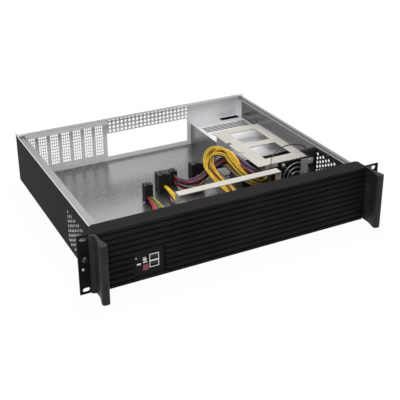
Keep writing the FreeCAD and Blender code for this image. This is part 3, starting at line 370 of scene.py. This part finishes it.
def pale_plate():
    """Plated sheet with a warm, milky bloom: low metal, fine grain and faint rolling lines."""
    skin = Surface("pale_plate")
    cloud = skin.noise(16.0, 4.0)
    lines = skin.rolling(70.0, 1, 12, 12)
    share = skin.spread(cloud * 0.7 + lines * 0.3, 0.3, 0.7)
    colour = skin.blend(share, (0.47, 0.445, 0.40), (0.55, 0.525, 0.475))
    return skin.finish(Base_Color=colour, Metallic=0.35, Roughness=share * 0.1 + 0.38, Normal=skin.bump(lines, 0.1))


def black_coat(name, tone=0.007, gloss=0.55, grain=900.0, sheen=0.06):
    """Black powder coat: fine orange peel, dusty shade and thin rubbed patches."""
    skin = Surface(name)
    peel = skin.noise(grain, 2.0)
    dust = skin.spread(skin.noise(18.0, 5.0), 0.4, 0.75)
    colour = skin.blend(dust, (tone * 0.8, tone * 0.8, tone * 0.85), (tone * 1.7, tone * 1.7, tone * 1.75))
    return skin.finish(Base_Color=colour, Specular_IOR_Level=sheen, Roughness=dust * 0.1 + gloss,
                       Normal=skin.bump(peel, 0.35, 0.0001))


def tray_skin():
    """The tray's sheet: zinc inside, cut edges round the holes of the walls painted near white, partly their
    own bare metal and partly painted light standing for the bright inside seen through the holes, and black
    coat on the outer faces of the walls, on the front lip and under the floor."""
    skin = Surface("tray_sheet")
    aside = abs(skin.axis("X"))
    coated_wall = aside > TRAY_SIDE - 0.25 * MM
    outside = coated_wall.most(skin.axis("Z") < 0.1 * MM).most(skin.axis("Y") < FRONT_LIP)
    # partly painted light: the cut edges of the wall holes are near white and little metallic, so the holes look
    # lit
    cut_edge_and_light = (aside > TRAY_SIDE - 1.15 * MM) * (1 - outside)
    flake = skin.flakes()
    cloud = skin.noise(12.0, 4.0)
    lines = skin.rolling(50.0, 14, 1, 14)
    share = skin.spread(flake * 0.15 + cloud * 0.6 + lines * 0.25, 0.3, 0.7)
    zinc = skin.blend(share, (0.25, 0.25, 0.255), (0.28, 0.28, 0.285))
    zinc = skin.blend(cut_edge_and_light, zinc, (0.82, 0.82, 0.82))
    coat = skin.blend(cloud, (0.005, 0.005, 0.0055), (0.012, 0.012, 0.013))
    peel = skin.noise(900.0, 2.0)
    height = outside * peel + (1 - outside) * (lines * 0.15 + flake * 0.02)
    rough = outside * (cloud * 0.1 + 0.45) + (1 - outside) * (share * 0.04 + 0.25)
    return skin.finish(Base_Color=skin.blend(outside, zinc, coat), Specular_IOR_Level=0.02,
                       Metallic=(1 - outside) * (0.95 - cut_edge_and_light * 0.75), Roughness=rough,
                       Normal=skin.bump(height, 0.15))


def moulded(name, tone, gloss=0.42, sheen=0.35):
    """Moulded plastic: fine spark texture and a slow drift of shade."""
    skin = Surface(name)
    spark = skin.noise(1400.0, 2.0)
    drift = skin.spread(skin.noise(40.0, 3.0), 0.3, 0.7)
    colour = skin.blend(drift, tuple(channel * 0.75 for channel in tone), tone)
    return skin.finish(Base_Color=colour, Specular_IOR_Level=sheen, Roughness=drift * 0.1 + gloss,
                       Normal=skin.bump(spark, 0.2, 0.0001))


def insulation(name, tone):
    """A wire's jacket: smooth, with smudges where it was handled."""
    skin = Surface(name)
    smudge = skin.spread(skin.noise(120.0, 3.0), 0.35, 0.75)
    colour = skin.blend(smudge, tone, tuple(channel * 0.6 for channel in tone))
    return skin.finish(Base_Color=colour, Roughness=smudge * 0.15 + 0.3, Normal=skin.bump(smudge, 0.05))


def bright_metal(name, tone=0.6, gloss=0.28):
    """Bright plating with turning marks."""
    skin = Surface(name)
    marks = skin.noise(700.0, 3.0)
    colour = skin.blend(marks, (tone * 0.8,) * 3, (tone, tone, tone * 0.98))
    return skin.finish(Base_Color=colour, Metallic=0.9, Roughness=marks * 0.15 + gloss - 0.05,
                       Normal=skin.bump(marks, 0.1, 0.0001))


def glow_lens(name, tone):
    """A small milky or tinted lens."""
    skin = Surface(name)
    depth = skin.noise(500.0, 2.0)
    colour = skin.blend(depth, tuple(channel * 0.75 for channel in tone), tone)
    return skin.finish(Base_Color=colour, Roughness=depth * 0.1 + 0.2, Coat_Weight=0.3)


def port_shell():
    """The stacked ports: bright thin rims round two mouths, and inside them a dark colour that is partly
    their black plastic and partly painted shade in the mouths.
    """
    skin = Surface("port_shell")
    low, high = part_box("port_stack")
    rim = 0.9 * MM
    beside = skin.off_middle("X", low, high) > (high.x - low.x) / 2 - rim
    height = skin.off_middle("Z", low, high)
    metal = beside.most(height > (high.z - low.z) / 2 - rim).most(height < rim)
    marks = skin.noise(700.0, 3.0)
    # partly painted shade: all but the rims is near black, standing also for the shade in the mouths
    colour = skin.blend(metal, (0.012, 0.012, 0.013), (0.80, 0.80, 0.78))
    return skin.finish(Base_Color=colour, Metallic=metal * 0.6, Roughness=marks * 0.1 + 0.35,
                       Normal=skin.bump(marks, 0.1, 0.0001))


def plug_plastic():
    """Black plug housings: a row of contact cells, each parted from the next by a narrow furrow that is
    painted darker, as painted shade in it.
    """
    skin = Surface("plug_plastic")
    cell = 4.2 * MM
    across = skin.node("ShaderNodeMath", {"operation": "PINGPONG"}, {0: skin.axis("X"), 1: cell / 2})
    groove_and_shade = skin.spread(across, 0.0, 0.35 * MM)
    spark = skin.noise(1200.0, 2.0)
    # painted shade: the furrow between cells is darker than the cells
    colour = skin.blend(groove_and_shade, (0.003, 0.003, 0.004), (0.013, 0.013, 0.016))
    return skin.finish(Base_Color=colour, Specular_IOR_Level=0.3, Roughness=spark * 0.1 + 0.36,
                       Normal=skin.bump(groove_and_shade + spark * 0.1, 0.5, 0.0004))


def printed_board():
    """Green solder mask with paler tracks."""
    skin = Surface("circuit_board")
    values = {"Vector": skin.place, "Scale": 300.0, "Mortar Size": 0.03}
    tracks = skin.node("ShaderNodeTexBrick", None, values, output="Fac")
    colour = skin.blend(tracks, (0.012, 0.08, 0.03), (0.05, 0.18, 0.08))
    return skin.finish(Base_Color=colour, Roughness=0.1 * skin.noise(90.0) + 0.35, Normal=skin.bump(tracks, 0.3))


ZINC = zinc_sheet("zinc_sheet")
SINK = bright_metal("dark_sink", 0.05, 0.4)
PORTS = port_shell()
PLUG = plug_plastic()
SUPPLY_ZINC = zinc_sheet("supply_zinc", 0.27, 0.22)
COVER_ZINC = slit_cover()
REAR_ZINC = zinc_sheet("rear_zinc", 0.92, 0.87, 0.45, 0.12, REAR_FACE)
PALE = pale_plate()
TRAY = tray_skin()
EAR_COAT = black_coat("ear_coat")
PANEL_COAT = black_coat("panel_coat", 0.008, grain=1100.0)
HANDLE_COAT = black_coat("handle_coat", 0.014, 0.5, 1100.0, 0.2)
PLASTIC = moulded("black_plastic", (0.016, 0.016, 0.017))
INSERT = moulded("insert_plastic", (0.008, 0.008, 0.009), 0.5, 0.1)
FAN_PLASTIC = moulded("fan_plastic", (0.012, 0.012, 0.012), 0.38)
BRIGHT = bright_metal("bright_zinc")
WIRE_STEEL = bright_metal("guard_wire", 0.5, 0.3)
DARK_SCREW = bright_metal("black_zinc", 0.07, 0.35)
BOARD = printed_board()
BUTTON = moulded("button_cap", (0.55, 0.56, 0.55), 0.3)
RED_LENS = glow_lens("dark_red_lens", (0.24, 0.018, 0.03))
MILKY_LENS = glow_lens("milky_lens", (0.75, 0.75, 0.72))
YELLOW = insulation("yellow_wire", (0.95, 0.66, 0.03))
ORANGE = insulation("orange_wire", (0.95, 0.40, 0.03))
BLACK = insulation("black_wire", (0.012, 0.012, 0.013))
RED = insulation("red_wire", (0.35, 0.012, 0.015))
VIOLET = insulation("violet_wire", (0.10, 0.05, 0.16))
WHITE = insulation("white_wire", (0.72, 0.70, 0.66))
GREEN = insulation("green_wire", (0.02, 0.22, 0.06))
MAUVE = insulation("mauve_wire", (0.20, 0.13, 0.24))
PINK = insulation("light_red_wire", (0.60, 0.07, 0.06))
OLIVE = insulation("dark_green_wire", (0.035, 0.07, 0.02))

FINISHES = {
    "chassis_tray": TRAY,
    "rear_panel": REAR_ZINC, "slot_rail": REAR_ZINC, "front_frame": EAR_COAT, "fan_bracket": ZINC,
    "shelf_leg_left": ZINC, "shelf_leg_right": ZINC,
    "front_brace": PALE, "drive_shelf": PALE,
    "supply_case": SUPPLY_ZINC, "supply_cover": COVER_ZINC, "supply_sink": SINK, "port_stack": PORTS,
    "front_panel": PANEL_COAT, "handle_left": HANDLE_COAT, "handle_right": HANDLE_COAT,
    "rack_ear_left": EAR_COAT, "rack_ear_right": EAR_COAT,
    "fan_frame": FAN_PLASTIC, "fan_rotor": FAN_PLASTIC,
    "supply_fan_frame": FAN_PLASTIC, "supply_fan_rotor": FAN_PLASTIC,
    "fan_guard": WIRE_STEEL, "control_insert": INSERT, "button_switches": PLASTIC, "mains_inlet": PLASTIC,
    "supply_board": BOARD, "control_board": BOARD,
    "power_button": BUTTON, "reset_button": BUTTON,
    "alarm_lens": RED_LENS, "power_lens": MILKY_LENS, "drive_lens": MILKY_LENS,
    "ear_screws": DARK_SCREW, "ear_studs": DARK_SCREW, "handle_screws": DARK_SCREW,
}
for node_name, node in nodes.items():
    if node_name in FINISHES:
        finish = FINISHES[node_name]
    elif node_name.startswith("slot_cover"):
        finish = REAR_ZINC
    elif node_name.startswith("plug_"):
        finish = PLUG
    else:
        finish = BRIGHT
    node.data.materials.clear()
    node.data.materials.append(finish)


# ---------------------------------------------------------------- the harnesses


def lay_harness(node_name, points, eye, wire, bundles, seed, plugs=()):
    """A harness as a few loose bundles of wires, each with its name, diameter, length, count of wires,
    shift, pull and colours. The route is given as X, distance behind the ears and Z in millimetres. A
    bundle's points are the route's, moved by its shift and pulled towards the eye of the harness's loop,
    less so near the two ends. The plugs are looked up for the first bundle, but nothing is done with them."""
    share = np.linspace(0.0, 1.0, len(points))
    weight = np.clip(4 * np.minimum(share, 1 - share), 0.3, 1.0)[:, None]
    for number, (piece_name, diameter, real_length, count, shift, pull, colours) in enumerate(bundles):
        route = np.array(points, dtype=float)
        inward = np.array(eye) - route
        inward /= np.linalg.norm(inward, axis=1, keepdims=True)
        route += weight * (np.array(shift) + pull * inward)
        route = route * MM + np.array([0.0, EAR_PLANE, 0.0])
        route[:, 2] = np.maximum(route[:, 2], FLOOR + diameter / 3)
        piece, line = wires(piece_name, route, count, (diameter - wire) * FILL, wire, colours, seed + number)
        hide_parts(node_name)
        carried = [nodes[plug] for plug in plugs] if number == 0 else []


lay_harness("harness_main",
            [(124, 188.8, 22), (124, 158, 21), (110, 137, 29), (91, 148, 44), (87, 172, 57), (85, 200, 67),
             (64, 216, 64), (50, 206, 42), (56, 178, 26), (68, 150, 14), (62, 118, 8), (34, 98, 7), (0, 98, 7),
             (-20, 118, 8), (-24, 152, 10), (-17, 184, 12), (-17, 218, 12)],
            (78, 178, 40), 0.0018,
            [("wires_main", 0.0085, 0.47, 8, (-1, 1, 0), 0, [YELLOW, YELLOW, ORANGE, YELLOW]),
             ("wires_main_middle", 0.0075, 0.456, 7, (5, -5, 1), 3, [YELLOW, ORANGE, YELLOW]),
             ("wires_main_inner", 0.0075, 0.431, 7, (0, 2, -1), 7, [YELLOW, YELLOW, BLACK]),
             ("wires_main_core", 0.0085, 0.42, 9, (1, 1, -2), 9, [BLACK, ORANGE, OLIVE, YELLOW, RED]),
             ("wires_main_fan", 0.0075, 0.46, 7, (-3, -6, -5), 2, [YELLOW, YELLOW, BLACK, ORANGE])],
            3, ["plug_drive"])
lay_harness("harness_drive",
            [(142, 188.8, 30), (141, 160, 32), (128, 134, 38), (108, 130, 48), (97, 150, 54), (98, 178, 55),
             (97, 206, 49), (82, 220, 36), (60, 212, 28), (34, 198, 22), (9, 206, 18), (9, 237, 18)],
            (85, 178, 20), 0.0018,
            [("wires_drive", 0.0075, 0.28, 8, (0, -1, 1), 0, [BLACK, VIOLET, BLACK, MAUVE]),
             ("wires_drive_low", 0.0075, 0.267, 8, (-3, -3, -3), 5, [BLACK, OLIVE, VIOLET, BLACK]),
             ("wires_drive_near", 0.007, 0.279, 7, (-4, -7, 0), 2, [RED, BLACK, VIOLET, RED])],
            15, ["plug_small"])
lay_harness("harness_atx",
            [(66, 243, 14), (90, 243, 14), (101, 218, 30), (98, 188, 30), (108, 160, 19), (130, 150, 10),
             (150, 164, 12), (152, 188.8, 12)],
            (100, 190, 6), 0.0018,
            [("wires_atx", 0.0085, 0.185, 9, (-4, -2, 6), 0, [YELLOW, BLACK, YELLOW, ORANGE]),
             ("wires_atx_near", 0.008, 0.183, 8, (-8, -4, 2), 0, [YELLOW, WHITE, BLACK, YELLOW]),
             ("wires_atx_low", 0.008, 0.17, 8, (2, 4, -4), 2, [VIOLET, BLACK, RED])],
            27, ["plug_main"])
lay_harness("harness_cpu",
            [(120, 188.8, 8), (119, 160, 7), (108, 128, 6), (88, 100, 5), (58, 86, 5), (22, 84, 5), (-16, 86, 5),
             (-44, 106, 5), (-55, 134, 5), (-57, 158, 6), (-53, 178, 8), (-53, 200, 8)],
            (40, 140, 5), 0.0018,
            [("wires_cpu", 0.0085, 0.344, 9, (-3, 0, 3), -4, [PINK, PINK, RED, PINK]),
             ("wires_cpu_inner", 0.0075, 0.315, 8, (4, 3, 3), 4, [GREEN, YELLOW, OLIVE, YELLOW, BLACK])],
            39, ["plug_cpu"])
lay_harness("harness_link",
            [(9, 237, 8), (9, 212, 8), (28, 194, 9), (52, 208, 8), (52, 236, 8)],
            (30, 225, 8), 0.0018,
            [("wires_link", 0.0085, 0.10, 10, (0, 2, 4), 0, [RED, BLACK, RED, PINK]),
             ("wires_link_low", 0.0075, 0.10, 8, (0, -2, -2), 0, [RED, VIOLET, BLACK]),
             ("wires_link_front", 0.0065, 0.11, 5, (0, -7, 6), 0, [YELLOW, WHITE, YELLOW, BLACK])],
            51)
lay_harness("fan_lead",
            [(198, 126, 61.2), (198, 126, 74), (184, 131, 81), (163, 136, 81), (143, 134, 77), (128, 124, 70),
             (120, 112, 58), (118, 113, 38), (121, 121, 18), (125, 118, 4.7), (125, 94, 4.7)],
            (150, 130, 40), 0.0013,
            [("wires_fan", 0.0026, 0.18, 2, (0, 0, 0), 0, [BLACK])],
            63, ["plug_fan"])


# ---------------------------------------------------------------- trim and painted shade


def carried_profile(name, profile, low, high, material, rings=12):
    """A closed outline in plan, carried straight up from low to high: ring k stands at an even share of the
    height. The two ends are closed by a fan round the outline's middle."""
    profile = np.asarray(profile)
    count = len(profile)
    heights = np.linspace(low, high, rings)
    walls = np.concatenate([np.column_stack([profile, np.full(count, height)]) for height in heights])
    middle = profile.mean(axis=0)
    points = np.concatenate([walls, [[*middle, low], [*middle, high]]])
    spot = np.arange(count)
    following = (spot + 1) % count
    base, top = rings * count, rings * count + 1
    last = (rings - 1) * count
    caps = [np.stack([np.full(count, base), following, spot], axis=-1),
            np.stack([np.full(count, top), last + spot, last + following], axis=-1)]
    quads = tube_faces(rings, count)
    mesh_faces = np.concatenate([quads[:, [0, 1, 2]], quads[:, [0, 2, 3]], *caps])
    return add_mesh(name, points, mesh_faces, [material], smooth=False)


# a dark sheet of the insert's plastic, which closes the slit beside it a little below its face: painted
# shade, standing for the shade in the empty slit
insert_low, insert_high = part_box("control_insert")
slit_width, slant = 4.6 * MM, 0.7 * MM
window_edge = insert_high.x + slit_width
shade_sheet_front, shade_sheet_back = insert_high.y - 1.1 * MM, insert_high.y + 0.6 * MM
shade_sheet_outline = [(insert_high.x, shade_sheet_front), (window_edge - slant, shade_sheet_front), (window_edge, shade_sheet_front + slant),
                (window_edge, shade_sheet_back), (insert_high.x, shade_sheet_back)]
shade_sheet = carried_profile("slit_shade_sheet", shade_sheet_outline, insert_low.z, insert_high.z, INSERT)


# ---------------------------------------------------------------- floor and light


def white_ground():
    """A pale ground that is seen as almost plain white: the small share left takes the object's shadow."""
    skin = Surface("white_ground")
    skin.finish(Base_Color=skin.blend(skin.noise(3.0), (0.93, 0.93, 0.93), (0.95, 0.95, 0.95)), Roughness=0.9)
    shown = skin.shown_white(Amount(skin, skin.shader.outputs[0]), "ShaderNodeEmission", 0.95)
    skin.feed(skin.tree.nodes["Material Output"].inputs["Surface"], shown)
    return skin.material


def add_stage():
    """A floor that curves up behind into a backdrop: height is the square of how far back past its start."""
    reach, bend, drop = 6.0, 3.5, 0.5 * MM
    grid_x, grid_y = np.meshgrid(np.linspace(-reach, reach, 9), np.linspace(-reach, reach, 25))
    height = np.where(grid_y > bend, (grid_y - bend) ** 2, 0.0)
    points = np.stack([grid_x, grid_y, height - drop], axis=-1).reshape(-1, 3)
    rows, columns = grid_x.shape
    first = (np.arange(rows - 1)[:, None] * columns + np.arange(columns - 1)[None, :]).ravel()
    faces = np.stack([first, first + 1, first + columns + 1, first + columns], axis=-1)
    mesh = bpy.data.meshes.new("ground")
    mesh.from_pydata(points.tolist(), [], faces.tolist())
    mesh.materials.append(white_ground())
    ground = bpy.data.objects.new("ground", mesh)
    bpy.context.scene.collection.objects.link(ground)


def area_light(name, place, target, size, watts):
    """A round lamp at place that shines towards target."""
    data = bpy.data.lights.new(name, "AREA")
    data.shape = "DISK"
    data.size = size
    data.energy = watts
    lamp = bpy.data.objects.new(name, data)
    lamp.location = place
    lamp.rotation_euler = (Vector(target) - Vector(place)).to_track_quat("-Z", "Y").to_euler()
    bpy.context.scene.collection.objects.link(lamp)


def light_room():
    """A soft, even room, and three lamps: above, low behind the rear panel, and at the front left."""
    world = bpy.data.worlds.new("room")
    bpy.context.scene.world = world
    world.use_nodes = True
    sky = Nodes(world.node_tree)
    soft = sky.tree.nodes["Background"]
    sky.feed(soft.inputs["Color"], (0.96, 0.98, 1.0))
    sky.feed(soft.inputs["Strength"], 0.55)
    shown = sky.shown_white(Amount(sky, soft.outputs[0]), "ShaderNodeBackground")
    sky.feed(sky.tree.nodes["World Output"].inputs["Surface"], shown)
    area_light("key", (0.5, 0.9, 2.3), (0, 0, 0.05), 1.3, 26)
    area_light("glint", (0.52, 1.73, 1.22), (-0.17, -0.12, 0), 0.8, 1.2)
    area_light("fill", (-0.9, -1.1, 2.3), (0, 0, 0.05), 1.4, 26)


add_stage()
light_room()
bpy.context.scene.view_settings.view_transform = "Standard"
